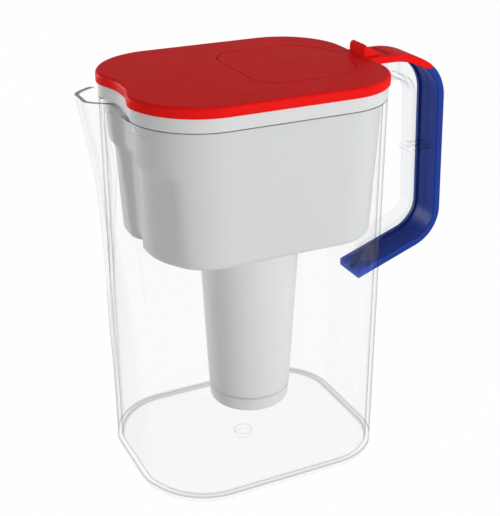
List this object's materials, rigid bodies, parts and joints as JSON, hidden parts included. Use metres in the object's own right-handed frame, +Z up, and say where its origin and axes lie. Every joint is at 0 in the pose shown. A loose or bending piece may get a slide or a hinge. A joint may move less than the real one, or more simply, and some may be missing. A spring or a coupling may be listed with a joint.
{
  "type": "water filter pitcher with flip lid",
  "caption": "Clear water pitcher with a lift-out reservoir, a hanging filter cup, a red lid with a hinged fill door and a blue loop grip.",
  "frame": {"origin": "on the resting plane under the middle of the body", "axes": "+Z up, +X from the spout towards the handle, +Y across the body"},
  "size_m": [0.2439, 0.1312, 0.2662],
  "materials": {
    "clear_plastic": "clear polished",
    "blue_plastic": "satin",
    "grey_plastic": "satin",
    "red_plastic": "satin",
    "pin_steel": "brushed",
    "white_plastic": "satin",
    "inlet_plastic": "satin",
    "seal_rubber": "matt",
    "screen_mesh": "fine woven mesh",
    "carbon": "granular",
    "felt": "felt",
    "resin": "granular beads"
  },
  "bodies": {
    "pitcher": {"jug": "clear_plastic", "handle_grip": "blue_plastic"},
    "tub": {"reservoir": "grey_plastic"},
    "cover": {"lid": "red_plastic", "hinge_pin": "pin_steel"},
    "door": {"flip_door": "red_plastic"},
    "filter": {"filter_cup": "white_plastic", "filter_outlet": "white_plastic", "filter_inlet": "inlet_plastic", "seal_ring": "seal_rubber", "inlet_screen": "screen_mesh", "outlet_screen": "screen_mesh", "carbon_bed": "carbon", "felt_disc": "felt", "resin_bed": "resin"}
  },
  "joints": [
    {"name": "reservoir_lift", "type": "slide", "parent": "pitcher", "child": "tub", "axis": [0, 0, 1], "range_m": [0, 0.24]},
    {"name": "lid_lift", "type": "slide", "parent": "tub", "child": "cover", "axis": [0, 0, 1], "range_m": [0, 0.06]},
    {"name": "door_hinge", "type": "hinge", "parent": "cover", "child": "door", "pos_m": [0.0945, 0, 0.2566], "axis": [0, 1, 0], "range_deg": [0, 100]},
    {"name": "filter_lift", "type": "slide", "parent": "tub", "child": "filter", "axis": [0, 0, 1], "range_m": [0, 0.06]}
  ]
}
